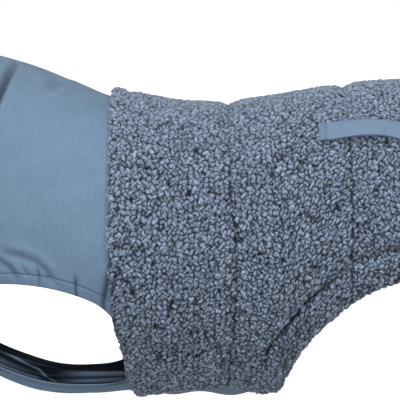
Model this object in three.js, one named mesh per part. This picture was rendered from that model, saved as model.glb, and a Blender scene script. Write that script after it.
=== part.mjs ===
import * as THREE from 'three';

// Dog winter coat, filled out as if worn, in millimetres.
// +X runs from head to tail, +Z is up, and -Y is the dog's left side.
// The origin is on the inner face of the back, at the withers.

// Figure.
// The inner surface of the coat: a row of slanted egg-shaped rings.
// u is the X of a ring's top point, and botX, botZ is its lowest point.
// half is its half width, and keel narrows it below the widest point.
const FIGURE = [
  { u: -140, topZ: 43, botX: -226, botZ: -57, half: 60, keel: 0 },
  { u: -96, topZ: 34, botX: -203, botZ: -103, half: 68, keel: -0.02 },
  { u: -74, topZ: 27.6, botX: -182, botZ: -135, half: 73, keel: -0.08 },
  { u: -54, topZ: 20.3, botX: -152, botZ: -170, half: 77, keel: -0.16 },
  { u: -34, topZ: 12, botX: -112, botZ: -201, half: 81.5, keel: -0.23 },
  { u: -20, topZ: 5.8, botX: -77, botZ: -214.8, half: 84, keel: -0.26 },
  { u: 0, topZ: 0, botX: -31, botZ: -218.5, half: 86, keel: -0.25 },
  { u: 12, topZ: -2.5, botX: -5, botZ: -217.2, half: 86.6, keel: -0.2 },
  { u: 35, topZ: -6.5, botX: 26, botZ: -218.5, half: 87, keel: -0.06 },
  { u: 75, topZ: -7, botX: 75, botZ: -218.5, half: 87, keel: 0 },
  { u: 118, topZ: -1.5, botX: 118, botZ: -216, half: 86, keel: 0 },
  { u: 160, topZ: 6, botX: 160, botZ: -205, half: 84, keel: 0 },
  { u: 202, topZ: 8.5, botX: 202, botZ: -191, half: 81, keel: 0 },
  { u: 245, topZ: 7.5, botX: 245, botZ: -179, half: 77, keel: 0 },
  { u: 290, topZ: 1.5, botX: 290, botZ: -170, half: 72, keel: 0 },
  { u: 325, topZ: -8.5, botX: 325, botZ: -164, half: 67, keel: 0 },
];
const EGG = 0.12; // how much wider a ring is above its middle than below it
const DEG = Math.PI / 180;

// A smooth curve through the points (xs, ys), read at x.
function smooth(xs, ys, x) {
  const last = xs.length - 1;
  let i = 0;
  while (i < last - 1 && x > xs[i + 1]) i += 1;
  const step = (k) => xs[k + 1] - xs[k];
  const rise = (k) => (ys[k + 1] - ys[k]) / step(k);
  const slope = (k) => {
    if (k === 0) return rise(0);
    if (k === last) return rise(last - 1);
    return (rise(k - 1) * step(k) + rise(k) * step(k - 1)) / (step(k) + step(k - 1));
  };
  const t = (x - xs[i]) / step(i);
  const h00 = (1 + 2 * t) * (1 - t) ** 2;
  const h10 = t * (1 - t) ** 2;
  const h01 = t * t * (3 - 2 * t);
  const h11 = t * t * (t - 1);
  return h00 * ys[i] + h10 * step(i) * slope(i) + h01 * ys[i + 1] + h11 * step(i) * slope(i + 1);
}
function table(rows, xName, yName) {
  const xs = rows.map((row) => row[xName]);
  const ys = rows.map((row) => row[yName]);
  return (x) => smooth(xs, ys, x);
}
const ring = {
  topZ: table(FIGURE, 'u', 'topZ'),
  botX: table(FIGURE, 'u', 'botX'),
  botZ: table(FIGURE, 'u', 'botZ'),
  half: table(FIGURE, 'u', 'half'),
  keel: table(FIGURE, 'u', 'keel'),
};
const mix = (a, b, t) => a + (b - a) * t;
function ramp(low, high, x) {
  const t = Math.min(Math.max((x - low) / (high - low), 0), 1);
  return t * t * (3 - 2 * t);
}

// The figure's point on ring u at angle a in degrees: 0 is the back,
// 90 the dog's left side, 180 the belly, and below 0 its right side.
function figure(u, a) {
  const c = Math.cos(a * DEG);
  const s = Math.sin(a * DEG);
  const topZ = ring.topZ(u);
  const botX = ring.botX(u);
  const botZ = ring.botZ(u);
  const under = Math.min(c, 0) ** 2;
  return new THREE.Vector3(
    (u + botX) / 2 + c * (u - botX) / 2,
    -ring.half(u) * s * (1 + EGG * c + ring.keel(u) * under),
    (topZ + botZ) / 2 + c * (topZ - botZ) / 2,
  );
}
// How the figure's point moves for one more mm of u and one more degree of a.
function slopes(u, a) {
  return {
    alongU: figure(u + 0.05, a).sub(figure(u - 0.05, a)).multiplyScalar(10),
    alongA: figure(u, a + 0.05).sub(figure(u, a - 0.05)).multiplyScalar(10),
  };
}
function outward(u, a) {
  const { alongU, alongA } = slopes(u, a);
  return alongA.cross(alongU).normalize();
}
// A point that far outside the figure.
function lifted(u, a, offset) {
  return figure(u, a).addScaledVector(outward(u, a), offset);
}

// Closed solids.
// A closed wall between two grids of points, both [column][row].
function wall(outer, inner) {
  const columns = outer.length;
  const rows = outer[0].length;
  const positions = [...outer.flat(), ...inner.flat()].flatMap((p) => [p.x, p.y, p.z]);
  const out = (i, j) => i * rows + j;
  const inn = (i, j) => columns * rows + i * rows + j;
  const index = [];
  const quad = (a, b, c, d) => index.push(a, b, c, a, c, d);
  for (let i = 0; i < columns - 1; i += 1) {
    for (let j = 0; j < rows - 1; j += 1) {
      quad(out(i, j), out(i, j + 1), out(i + 1, j + 1), out(i + 1, j));
      quad(inn(i, j), inn(i + 1, j), inn(i + 1, j + 1), inn(i, j + 1));
    }
    quad(out(i, 0), out(i + 1, 0), inn(i + 1, 0), inn(i, 0));
    quad(out(i + 1, rows - 1), out(i, rows - 1), inn(i, rows - 1), inn(i + 1, rows - 1));
  }
  for (let j = 0; j < rows - 1; j += 1) {
    quad(out(0, j + 1), out(0, j), inn(0, j), inn(0, j + 1));
    quad(out(columns - 1, j), out(columns - 1, j + 1), inn(columns - 1, j + 1), inn(columns - 1, j));
  }
  return closed(positions, index);
}
// A closed band from loops of points, joined in a circle.
function band(loops) {
  const count = loops.length;
  const around = loops[0].length;
  const positions = loops.flat().flatMap((p) => [p.x, p.y, p.z]);
  const index = [];
  for (let i = 0; i < count; i += 1) {
    for (let j = 0; j < around; j += 1) {
      const a = i * around + j;
      const b = i * around + ((j + 1) % around);
      const c = ((i + 1) % count) * around + ((j + 1) % around);
      const d = ((i + 1) % count) * around + j;
      index.push(a, b, c, a, c, d);
    }
  }
  return closed(positions, index);
}
// Faces are turned outward when the volume they enclose comes out negative.
function closed(positions, index) {
  let volume = 0;
  const at = (k) => new THREE.Vector3().fromArray(positions, 3 * k);
  for (let k = 0; k < index.length; k += 3) {
    volume += at(index[k]).dot(at(index[k + 1]).cross(at(index[k + 2])));
  }
  if (volume < 0) index.reverse();
  const geometry = new THREE.BufferGeometry();
  geometry.setAttribute('position', new THREE.Float32BufferAttribute(positions, 3));
  geometry.setIndex(index);
  geometry.computeVertexNormals();
  return geometry;
}

// Leg opening.
// The edge of the left leg opening, from its front tip over the top to its
// rear tip and back along the chest. The right one is its mirror image.
const OPENING = [
  { u: -53, a: 131 }, { u: -46.5, a: 114.5 }, { u: -31.5, a: 102.3 }, { u: -14.5, a: 99.1 },
  { u: 0.4, a: 103.7 }, { u: 11, a: 116.7 }, { u: 17.2, a: 131.5 }, { u: 17.4, a: 143 },
  { u: 11, a: 150 }, { u: -2, a: 152.8 }, { u: -22, a: 151 }, { u: -38, a: 149.6 },
  { u: -49, a: 143.6 },
];
const REAR_TIP = 6; // its place in the table
const UPPER_STEPS = 26;
const LOWER_STEPS = 28;
const BINDING_WIDTH = 8;
const SEAM_GAP = 0.3;

// Knots are spread by distance, with three more before and after the loop.
function openingCurve() {
  const count = OPENING.length;
  const knots = [];
  let distance = 0;
  for (let k = -3; k <= count + 3; k += 1) {
    const point = OPENING[(k + count) % count];
    if (knots.length > 0) {
      const before = knots[knots.length - 1];
      distance += figure(point.u, point.a).distanceTo(figure(before.u, before.a));
    }
    knots.push({ t: distance, u: point.u, a: point.a });
  }
  const u = table(knots, 't', 'u');
  const a = table(knots, 't', 'a');
  return { knots, at: (t) => ({ u: u(t), a: a(t) }) };
}
const opening = openingCurve();

// Stations at even spacing; each keeps a step sideways, away from the hole.
function openingStations() {
  const front = opening.knots[3].t;
  const rear = opening.knots[3 + REAR_TIP].t;
  const end = opening.knots[3 + OPENING.length].t;
  const stations = [];
  for (let k = 0; k < UPPER_STEPS + LOWER_STEPS; k += 1) {
    const upper = k < UPPER_STEPS;
    const t = upper
      ? mix(front, rear, k / UPPER_STEPS)
      : mix(rear, end, (k - UPPER_STEPS) / LOWER_STEPS);
    const { u, a } = opening.at(t);
    const before = opening.at(t - 0.5);
    const after = opening.at(t + 0.5);
    const tangent = figure(after.u, after.a).sub(figure(before.u, before.a)).normalize();
    const away = new THREE.Vector3().crossVectors(tangent, outward(u, a)).negate();
    const { alongU, alongA } = slopes(u, a);
    const uu = alongU.dot(alongU);
    const ua = alongU.dot(alongA);
    const aa = alongA.dot(alongA);
    const det = uu * aa - ua * ua;
    const du = (aa * away.dot(alongU) - ua * away.dot(alongA)) / det;
    const da = (uu * away.dot(alongA) - ua * away.dot(alongU)) / det;
    stations.push({ u, a, du, da });
  }
  return stations;
}
const stations = openingStations();
const beside = (station, mm) => ({ u: station.u + station.du * mm, a: station.a + station.da * mm });

// Edges of the shell.
// The seam between yoke and chest panel runs from the neck to the opening's
// front tip, and on from its rear tip to the yoke's rear end.
const NECK = { u: -128, a: 112 };
const YOKE_REAR_U = 36;
const BELLY_REAR = { u: 98, a: 125 };
const FRONT_SEAM_STEPS = 8;
const HALF_SEAM = 0.1; // degrees, about half the seam gap

function shellEdges() {
  const shellGap = BINDING_WIDTH + SEAM_GAP;
  const loop = stations.map((station) => beside(station, shellGap));
  const frontTip = loop[0];
  const rearTip = loop[UPPER_STEPS];
  const frontSeam = [];
  for (let k = 0; k < FRONT_SEAM_STEPS; k += 1) {
    const t = k / FRONT_SEAM_STEPS;
    frontSeam.push({ u: mix(NECK.u, frontTip.u, t), a: mix(NECK.a, frontTip.a, t * t) });
  }
  const shift = (point, degrees) => ({ u: point.u, a: point.a + degrees });
  const rearSeam = [rearTip, { u: mix(rearTip.u, YOKE_REAR_U, 0.5), a: rearTip.a }];
  rearSeam.push({ u: YOKE_REAR_U, a: rearTip.a });
  const yoke = [
    ...frontSeam.map((point) => shift(point, -HALF_SEAM)),
    shift(frontTip, -HALF_SEAM),
    ...loop.slice(1, UPPER_STEPS),
    ...rearSeam.map((point) => shift(point, -HALF_SEAM)),
  ];
  const belly = [];
  for (let k = 1; k <= 8; k += 1) {
    belly.push({ u: mix(YOKE_REAR_U, BELLY_REAR.u, k / 8), a: mix(rearTip.a, BELLY_REAR.a, k / 8) });
  }
  const chest = [
    ...frontSeam.map((point) => shift(point, HALF_SEAM)),
    shift(frontTip, HALF_SEAM),
    ...loop.slice(UPPER_STEPS + 1).reverse(),
    ...rearSeam.map((point) => shift(point, HALF_SEAM)),
    ...belly,
  ];
  return { yoke, chest };
}
const edges = shellEdges();

// For each point of an edge, the ring that is as far along the line at angle a.
function acrossFrom(edge, a) {
  const far = (points) => {
    const sums = [0];
    for (let k = 1; k < points.length; k += 1) {
      const here = figure(points[k].u, points[k].a);
      sums.push(sums[k - 1] + here.distanceTo(figure(points[k - 1].u, points[k - 1].a)));
    }
    return sums.map((sum) => sum / sums[sums.length - 1]);
  };
  const line = [];
  for (let k = 0; k <= 120; k += 1) {
    line.push({ u: mix(edge[0].u, edge[edge.length - 1].u, k / 120), a });
  }
  const along = far(line).map((f, k) => ({ f, u: line[k].u }));
  return far(edge).map((f) => table(along, 'f', 'u')(f));
}

// Folds, in mm outward, for a place on the figure.
// The crease at the root of the neck is a valley with a ridge behind it. It
// starts beside the spine.
// It leans back by lean mm on its way to the angle leanAngle.
const CREASE = { u: -80, lean: 8, leanAngle: 52, depth: 5, width: 4, ridge: 1.5, ridgeWidth: 3.5 };
function yokeFold(u, a) {
  const side = Math.abs(a);
  const fromCrease = u - CREASE.u - CREASE.lean * (side / CREASE.leanAngle) ** 2;
  const valley = CREASE.depth * Math.exp(-(((fromCrease + CREASE.width) / CREASE.width) ** 2));
  const ridge = CREASE.ridge * Math.exp(-(((fromCrease - CREASE.ridgeWidth) / CREASE.ridgeWidth) ** 2));
  return ramp(4, 20, side) * (1 - ramp(60, 88, side)) * (ridge - valley);
}
// Slanting gathers between the legs, and slack waves under the belly.
const GATHER = { height: 1.3, perDegree: 7, perRing: 6 };
const SLACK = { height: 1.6, sink: 0.2, length: 40, crestU: 76 };
function chestFold(u, a) {
  const fromBelly = Math.abs(a - 180);
  const betweenLegs = ramp(-62, -40, u) * (1 - ramp(6, 22, u)) * (1 - ramp(24, 34, fromBelly));
  const gathers = GATHER.height * Math.sin((a * GATHER.perDegree + u * GATHER.perRing) * DEG);
  const underBelly = ramp(28, 45, u) * (1 - ramp(16, 30, fromBelly));
  const waves = SLACK.height * Math.cos((u - SLACK.crestU) / SLACK.length * 360 * DEG);
  return betweenLegs * gathers + underBelly * (waves - SLACK.sink);
}

// Shell.
const CLOTH = 1.7; // woven cloth with its lining
const YOKE_ROWS = 17; // each side of the back
const CHEST_ROWS = 8; // each side of the belly line

function yoke() {
  const spine = acrossFrom(edges.yoke, 0);
  const grid = (offset) => edges.yoke.map((edge, k) => {
    const column = [];
    for (let j = -YOKE_ROWS; j <= YOKE_ROWS; j += 1) {
      const v = j / YOKE_ROWS;
      const u = mix(spine[k], edge.u, v * v);
      column.push(lifted(u, edge.a * v, offset + yokeFold(u, edge.a * v)));
    }
    return column;
  });
  return wall(grid(CLOTH), grid(0));
}
function chestPanel() {
  const middle = acrossFrom(edges.chest, 180);
  const grid = (offset) => edges.chest.map((edge, k) => {
    const column = [];
    for (let j = -CHEST_ROWS; j <= CHEST_ROWS; j += 1) {
      const w = j / CHEST_ROWS;
      const u = mix(middle[k], edge.u, w * w);
      const a = 180 - (180 - edge.a) * w;
      column.push(lifted(u, a, offset + chestFold(u, a)));
    }
    return column;
  });
  return wall(grid(CLOTH), grid(0));
}

// Elastic binding round a leg opening: across is from the opening's edge.
const BINDING_THICK = 2.4;
const BINDING_SECTION = [
  { across: 0, height: 0.3 }, { across: 0.2, height: 0.8 }, { across: 1.2, height: 1 },
  { across: 6.8, height: 1 }, { across: 7.8, height: 0.8 }, { across: 8, height: 0.3 },
  { across: 7.4, height: 0 }, { across: 0.6, height: 0 },
];
function legBinding(side) {
  const loops = stations.map((station, k) => {
    const covered = ramp(-10, -5, station.u - saddleFront(Math.abs(station.a)));
    const gather = 1 + 0.1 * Math.sin(k * Math.PI / 2) * (1 - covered);
    const thick = mix(BINDING_THICK * gather, CLOTH, covered);
    return BINDING_SECTION.map((corner) => {
      const { u, a } = beside(station, corner.across);
      return lifted(u, side * a, corner.height * thick);
    });
  });
  return band(loops);
}

// Saddle.
// The thick fleece piece over the back, with three upright quilted seams.
const FLEECE_INNER = 2.3; // clear of the shell beneath
const FLEECE_OUTER = 9;
const FLEECE_SEAM = 4.7; // pressed down at a seam
const PUFF = 5.5; // how soon it rises beside a seam
const ROUNDING = 5.5; // width of the rounded edge
const HEM_GROOVE = { depth: 1.7, width: 4, fromTail: 27 };
const ROLL_GROOVE = { depth: 1.2, width: 3.5, fromFront: 12 };
const FRONT_EDGE = [ // ring u of the front edge at each angle
  { a: 0, u: -14.5 }, { a: 23, u: -13.5 }, { a: 63, u: -4.5 }, { a: 96, u: 2.2 },
  { a: 117, u: 8.6 }, { a: 142, u: 13 }, { a: 162, u: 18 },
];
const HEM = [ // angle of the lower edge, and of the line of its turned hem
  { u: 18, edge: 162, line: 120 }, { u: 33, edge: 152, line: 119.5 }, { u: 54, edge: 145.5, line: 119.5 },
  { u: 82, edge: 147, line: 119.5 }, { u: 104, edge: 151, line: 117.5 }, { u: 110, edge: 149, line: 112.5 },
  { u: 116, edge: 136.5, line: 108.6 }, { u: 124, edge: 125.8, line: 103.5 }, { u: 138, edge: 115.8, line: 98.4 },
  { u: 155, edge: 109.6, line: 91.8 }, { u: 174, edge: 104.6, line: 89.4 }, { u: 194, edge: 103, line: 89 },
  { u: 290, edge: 101, line: 86 },
];
const CORNER_ANGLE = 162; // lower front corner
const SEAM_X = [76, 159.5, 245.5];
const TAIL_X = 322;
const TAIL_ROUND = 36;
const MM_PER_DEGREE = 1.65;
const saddleFront = table(FRONT_EDGE, 'a', 'u');
const hemEdge = table(HEM, 'u', 'edge');
const hemLine = table(HEM, 'u', 'line');

// Where the columns of each channel stand, as parts of its width.
const CHANNELS = [
  [0, 0.02, 0.06, 0.14, 0.26, 0.45, 0.66, 0.82, 0.92, 0.97],
  [0, 0.03, 0.08, 0.18, 0.34, 0.5, 0.66, 0.82, 0.92, 0.97],
  [0, 0.03, 0.08, 0.18, 0.34, 0.5, 0.66, 0.82, 0.92, 0.97],
  [0, 0.03, 0.08, 0.18, 0.36, 0.52, 0.64, 0.76, 0.9, 0.965, 1],
];
const ROWS_ABOVE_LINE = [...Array(15).keys()].map((j) => j / 15).concat([0.965, 1]);
const ROWS_BELOW_LINE = [0.12, 0.35, 0.65, 0.86, 0.96, 1];

// One point of the saddle: its place on the figure, and how far it is in mm
// from the nearest upright seam, the edge and the hem's stitched line.
function saddlePlace(channel, part, row) {
  const side = Math.sign(row);
  const j = Math.abs(row);
  const above = ROWS_ABOVE_LINE.length;
  const lines = (level, bottomAngle) => {
    const front = saddleFront(level * bottomAngle);
    return [front, ...SEAM_X, TAIL_X - TAIL_ROUND * level ** 3];
  };
  const base = lines(1, CORNER_ANGLE);
  const uBottom = mix(base[channel], base[channel + 1], part);
  const bottom = hemEdge(uBottom);
  const line = hemLine(uBottom);
  const a = j < above
    ? ROWS_ABOVE_LINE[j] * line
    : mix(line, bottom, ROWS_BELOW_LINE[j - above]);
  const here = lines(a / bottom, CORNER_ANGLE);
  const u = mix(here[channel], here[channel + 1], part);
  const fromTail = here[4] - u;
  const fromFront = u - here[0];
  return {
    u,
    a: side * a,
    seam: Math.min(...SEAM_X.map((x) => Math.abs(u - x))),
    edge: Math.min(fromFront, fromTail, (bottom - a) * MM_PER_DEGREE),
    line: Math.min(Math.abs(a - line) * MM_PER_DEGREE, Math.abs(fromTail - HEM_GROOVE.fromTail)),
    roll: Math.abs(fromFront - ROLL_GROOVE.fromFront),
  };
}
function fleeceOffset(place) {
  const groove = (at, distance) => at.depth * Math.exp(-((distance / at.width) ** 2));
  const puffed = mix(FLEECE_SEAM, FLEECE_OUTER, 1 - Math.exp(-place.seam / PUFF));
  const stitched = puffed - groove(HEM_GROOVE, place.line) - groove(ROLL_GROOVE, place.roll);
  const fromEdge = Math.min(place.edge / ROUNDING, 1);
  const rise = 0.3 + 0.7 * Math.sqrt(1 - (1 - fromEdge) ** 2);
  return mix(FLEECE_INNER, Math.max(stitched, FLEECE_SEAM), rise);
}
function saddle() {
  const rows = ROWS_ABOVE_LINE.length + ROWS_BELOW_LINE.length - 1;
  const outer = [];
  const inner = [];
  CHANNELS.forEach((parts, channel) => {
    for (const part of parts) {
      const outerColumn = [];
      const innerColumn = [];
      for (let row = -rows; row <= rows; row += 1) {
        const place = saddlePlace(channel, part, row);
        outerColumn.push(lifted(place.u, place.a, fleeceOffset(place)));
        innerColumn.push(lifted(place.u, place.a, FLEECE_INNER));
      }
      outer.push(outerColumn);
      inner.push(innerColumn);
    }
  });
  return wall(outer, inner);
}

// Strap on the flank.
// A flat tape on the left flank, fixed at both ends and lifted between them.
const STRAP = [
  { u: 138.5, a: 37.5 }, { u: 149, a: 38.3 }, { u: 160, a: 38.8 }, { u: 170, a: 39.4 }, { u: 181, a: 40.3 },
  { u: 194, a: 42.3 }, { u: 211, a: 45 },
];
const STRAP_WIDTH = 15.6;
const STRAP_MM_PER_DEGREE = 1.83; // out on the fleece
const STRAP_THICK = 1.6;
const STRAP_LIFT = 3;
const STRAP_TILT = 0.55; // part of the lift at mid width; the lower edge stands off most
const STRAP_STEPS = 22;
const strapAngle = table(STRAP, 'u', 'a');

function backStrap() {
  const grid = (offset) => {
    const columns = [];
    for (let k = 0; k <= STRAP_STEPS; k += 1) {
      const t = k / STRAP_STEPS;
      const u = mix(STRAP[0].u, STRAP[STRAP.length - 1].u, t);
      const bow = STRAP_LIFT * Math.sin(Math.PI * t) ** 1.5;
      const column = [];
      for (let j = -2; j <= 2; j += 1) {
        const a = strapAngle(u) + j * STRAP_WIDTH / 4 / STRAP_MM_PER_DEGREE;
        const lift = bow * (STRAP_TILT + j / 4);
        column.push(lifted(u, a, FLEECE_OUTER + SEAM_GAP + lift + offset));
      }
      columns.push(column);
    }
    return columns;
  };
  return wall(grid(STRAP_THICK), grid(0));
}

// Coat.
function piece(name, geometry, material) {
  const mesh = new THREE.Mesh(geometry, material);
  mesh.name = name;
  return mesh;
}
const cloth = (color) => new THREE.MeshStandardMaterial({ color, roughness: 0.85, metalness: 0 });
const woven = cloth('#7791ab');
const fleece = cloth('#7c879a');
const elastic = cloth('#7890aa');
const tape = cloth('#7f98b3');

const coat = new THREE.Group();
coat.name = 'dog_winter_coat';
coat.add(piece('yoke', yoke(), woven));
coat.add(piece('chest_panel', chestPanel(), woven));
coat.add(piece('leg_binding_left', legBinding(1), elastic));
coat.add(piece('leg_binding_right', legBinding(-1), elastic));
coat.add(piece('saddle', saddle(), fleece));
coat.add(piece('back_strap', backStrap(), tape));

export default coat;
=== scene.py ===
import math

import bpy
import numpy as np
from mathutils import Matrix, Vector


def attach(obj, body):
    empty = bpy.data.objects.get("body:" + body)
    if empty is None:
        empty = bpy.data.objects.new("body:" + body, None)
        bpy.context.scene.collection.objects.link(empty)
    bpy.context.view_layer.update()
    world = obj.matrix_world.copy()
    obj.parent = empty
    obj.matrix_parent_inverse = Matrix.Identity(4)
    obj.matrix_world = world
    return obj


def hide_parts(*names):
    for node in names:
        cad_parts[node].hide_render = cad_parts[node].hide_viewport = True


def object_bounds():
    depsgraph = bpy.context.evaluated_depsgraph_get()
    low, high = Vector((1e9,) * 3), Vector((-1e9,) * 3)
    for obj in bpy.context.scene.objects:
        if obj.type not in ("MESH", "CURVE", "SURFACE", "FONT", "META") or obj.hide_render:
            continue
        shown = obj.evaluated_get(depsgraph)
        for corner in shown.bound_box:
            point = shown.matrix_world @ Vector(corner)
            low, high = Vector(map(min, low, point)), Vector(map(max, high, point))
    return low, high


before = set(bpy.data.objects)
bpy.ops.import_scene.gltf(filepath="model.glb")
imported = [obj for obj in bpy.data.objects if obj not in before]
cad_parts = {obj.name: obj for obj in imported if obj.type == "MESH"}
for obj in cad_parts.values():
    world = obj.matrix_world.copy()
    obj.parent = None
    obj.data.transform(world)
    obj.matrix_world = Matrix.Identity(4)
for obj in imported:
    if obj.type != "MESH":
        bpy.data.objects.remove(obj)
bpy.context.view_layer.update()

# The view and the light. The coat is shown level, from its left side and a
# little above, under a broad soft light from overhead on a white ground.
MM = 0.001
TARGET = np.array([52.5, 0.0, -72.5]) * MM
DISTANCE = 1.35
ELEVATION = math.radians(10)
SEEN_WIDTH = 0.300  # at the target
SENSOR = 36.0


def look_at(thing, place, target):
    """Turns a camera or light at place so that its -Z axis points to target."""
    thing.location = place
    direction = np.array(target) - np.array(place)
    across = math.atan2(direction[0], direction[1])
    level = math.hypot(direction[0], direction[1])
    thing.rotation_euler = (math.pi / 2 + math.atan2(direction[2], level), 0, -across)


camera = bpy.data.objects.new("camera", bpy.data.cameras.new("camera"))
bpy.context.collection.objects.link(camera)
camera.data.sensor_width = SENSOR
camera.data.lens = SENSOR * DISTANCE / SEEN_WIDTH
camera.data.clip_end = 20
look_at(
    camera,
    TARGET + DISTANCE * np.array([0, -math.cos(ELEVATION), math.sin(ELEVATION)]),
    TARGET,
)
bpy.context.scene.camera = camera


def soft_light(name, place, size, watts):
    """A square area light of that size in metres, turned to the coat."""
    data = bpy.data.lights.new(name, "AREA")
    data.size = size
    data.energy = watts
    light = bpy.data.objects.new(name, data)
    bpy.context.collection.objects.link(light)
    look_at(light, place, TARGET)


soft_light("overhead", (-0.1, -0.55, 1.3), 1.3, 11.5)
soft_light("front", (0.0, -1.8, 0.25), 1.2, 18.3)

world = bpy.data.worlds.new("studio")
bpy.context.scene.world = world
world.use_nodes = True
sky = world.node_tree.nodes["Background"]
seen = world.node_tree.nodes.new("ShaderNodeLightPath")
strength = world.node_tree.nodes.new("ShaderNodeMapRange")
strength.inputs["To Min"].default_value = 0.22
strength.inputs["To Max"].default_value = 1.0
sky.inputs["Color"].default_value = (1, 1, 1, 1)
world.node_tree.links.new(seen.outputs["Is Camera Ray"], strength.inputs["Value"])
world.node_tree.links.new(strength.outputs["Result"], sky.inputs["Strength"])
bpy.context.scene.view_settings.view_transform = "Standard"

# The wearer's figure: the inner surface of the coat, a row of slanted
# egg-shaped rings. All shapes are worked out on it in mm, as places (u, a):
# u is the X of a ring's top point, a its angle from the back in degrees.
FIGURE = np.array(
    [  # u, top Z, bottom X, bottom Z, half width, narrowing below
        (-140, 43, -226, -57, 60, 0),
        (-96, 34, -203, -103, 68, -0.02),
        (-74, 27.6, -182, -135, 73, -0.08),
        (-54, 20.3, -152, -170, 77, -0.16),
        (-34, 12, -112, -201, 81.5, -0.23),
        (-20, 5.8, -77, -214.8, 84, -0.26),
        (0, 0, -31, -218.5, 86, -0.25),
        (12, -2.5, -5, -217.2, 86.6, -0.2),
        (35, -6.5, 26, -218.5, 87, -0.06),
        (75, -7, 75, -218.5, 87, 0),
        (118, -1.5, 118, -216, 86, 0),
        (160, 6, 160, -205, 84, 0),
        (202, 8.5, 202, -191, 81, 0),
        (245, 7.5, 245, -179, 77, 0),
        (290, 1.5, 290, -170, 72, 0),
        (325, -8.5, 325, -164, 67, 0),
    ]
)
EGG = 0.12
MM_PER_DEGREE = 1.65  # round the trunk, about


def smooth(xs, ys, x):
    """A cubic through the points (xs, ys), read at x, with slopes that weigh both neighbours."""
    xs, ys, x = (np.asarray(values, float) for values in (xs, ys, x))
    step = np.diff(xs)
    rise = np.diff(ys) / step
    inner = (rise[:-1] * step[1:] + rise[1:] * step[:-1]) / (step[1:] + step[:-1])
    slope = np.concatenate([rise[:1], inner, rise[-1:]])
    i = np.clip(np.searchsorted(xs, x) - 1, 0, len(xs) - 2)
    t = (x - xs[i]) / step[i]
    start = (1 + 2 * t) * (1 - t) ** 2 * ys[i] + t * (1 - t) ** 2 * step[i] * slope[i]
    end = t * t * (3 - 2 * t) * ys[i + 1] + t * t * (t - 1) * step[i] * slope[i + 1]
    return start + end


def ramp(low, high, x):
    """0 below low, 1 above high, and an S curve between them."""
    t = np.clip((x - low) / (high - low), 0, 1)
    return t * t * (3 - 2 * t)


def mix(a, b, t):
    return a + (b - a) * t


def figure(u, a):
    """The figure's point: an ellipse from ring u's top to its bottom point, narrower below."""
    u, a = np.broadcast_arrays(np.asarray(u, float), np.asarray(a, float))
    top_z, bottom_x, bottom_z, half, keel = (smooth(FIGURE[:, 0], FIGURE[:, k], u) for k in range(1, 6))
    c = np.cos(np.radians(a))
    s = np.sin(np.radians(a))
    x = (u + bottom_x) / 2 + c * (u - bottom_x) / 2
    y = -half * s * (1 + EGG * c + keel * np.minimum(c, 0) ** 2)
    z = (top_z + bottom_z) / 2 + c * (top_z - bottom_z) / 2
    return np.stack([x, y, z], -1)


def slopes(u, a):
    """How the figure's point moves for one more mm of u, and for one more degree of a."""
    along_u = (figure(u + 0.05, a) - figure(u - 0.05, a)) * 10
    along_a = (figure(u, a + 0.05) - figure(u, a - 0.05)) * 10
    return along_u, along_a


def outward(u, a):
    along_u, along_a = slopes(u, a)
    normal = np.cross(along_a, along_u)
    return normal / np.linalg.norm(normal, axis=-1, keepdims=True)


def lifted(u, a, offset):
    """The point that is offset mm outside the figure at (u, a)."""
    return figure(u, a) + outward(u, a) * np.asarray(offset, float)[..., None]


# The leg opening of the left side; the right one is its mirror image. Its
# edge runs from its front tip over the top to its rear tip and back below.
OPENING = np.array(
    [
        (-53, 131), (-46.5, 114.5), (-31.5, 102.3), (-14.5, 99.1), (0.4, 103.7), (11, 116.7), (17.2, 131.5),
        (17.4, 143), (11, 150), (-2, 152.8), (-22, 151), (-38, 149.6), (-49, 143.6),
    ]
)
REAR_TIP = 6
UPPER_STEPS = 200
LOWER_STEPS = 216
BINDING_WIDTH = 8.0
TUCK = 0.7  # of the panels under the casing

WRAP = 3  # points of the loop repeated before its start, and one more than that after its end
knots = OPENING[np.arange(-WRAP, len(OPENING) + WRAP + 1) % len(OPENING)]
knot_gaps = np.linalg.norm(np.diff(figure(knots[:, 0], knots[:, 1]), axis=0), axis=1)
knot_at = np.concatenate([[0], np.cumsum(knot_gaps)])


def opening_edge(t):
    return smooth(knot_at, knots[:, 0], t), smooth(knot_at, knots[:, 1], t)


def beside_opening(t, mm):
    """The place that is mm away from the opening's edge at t, square to it along the cloth."""
    u, a = opening_edge(t)
    before = figure(*opening_edge(t - 0.5))
    after = figure(*opening_edge(t + 0.5))
    away = -np.cross(after - before, outward(u, a))
    away /= np.linalg.norm(away, axis=-1, keepdims=True)
    along_u, along_a = slopes(u, a)
    uu = (along_u * along_u).sum(-1)
    ua = (along_u * along_a).sum(-1)
    aa = (along_a * along_a).sum(-1)
    to_u = (away * along_u).sum(-1)
    to_a = (away * along_a).sum(-1)
    det = uu * aa - ua * ua
    return u + mm * (aa * to_u - ua * to_a) / det, a + mm * (uu * to_a - ua * to_u) / det


front_at = knot_at[WRAP]
rear_at = knot_at[WRAP + REAR_TIP]
round_at = knot_at[WRAP + len(OPENING)]
upper_at = np.linspace(front_at, rear_at, UPPER_STEPS + 1)
lower_at = np.linspace(round_at, rear_at, LOWER_STEPS + 1)

# The yoke: one smooth woven piece over the neck and shoulders, down to the
# leg openings and on for 5 cm beneath the fleece. It is lined, 1.7 mm in
# all, and creased across where the neck meets the shoulders.
CLOTH = 1.7
NECK = (-128.0, 112.0)
YOKE_REAR = 36.0
BELLY_REAR = (98.0, 125.0)
NECK_STEPS = 60
REAR_STEPS = 20
RIM_WIDTH = 2.2
RIM_DIP = 0.9
RIM_SHADE = 0.6
RATIO = 4  # outer points along a grid for each inner one


def points(u, a):
    return np.stack(np.broadcast_arrays(np.asarray(u, float), np.asarray(a, float)), -1)


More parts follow.
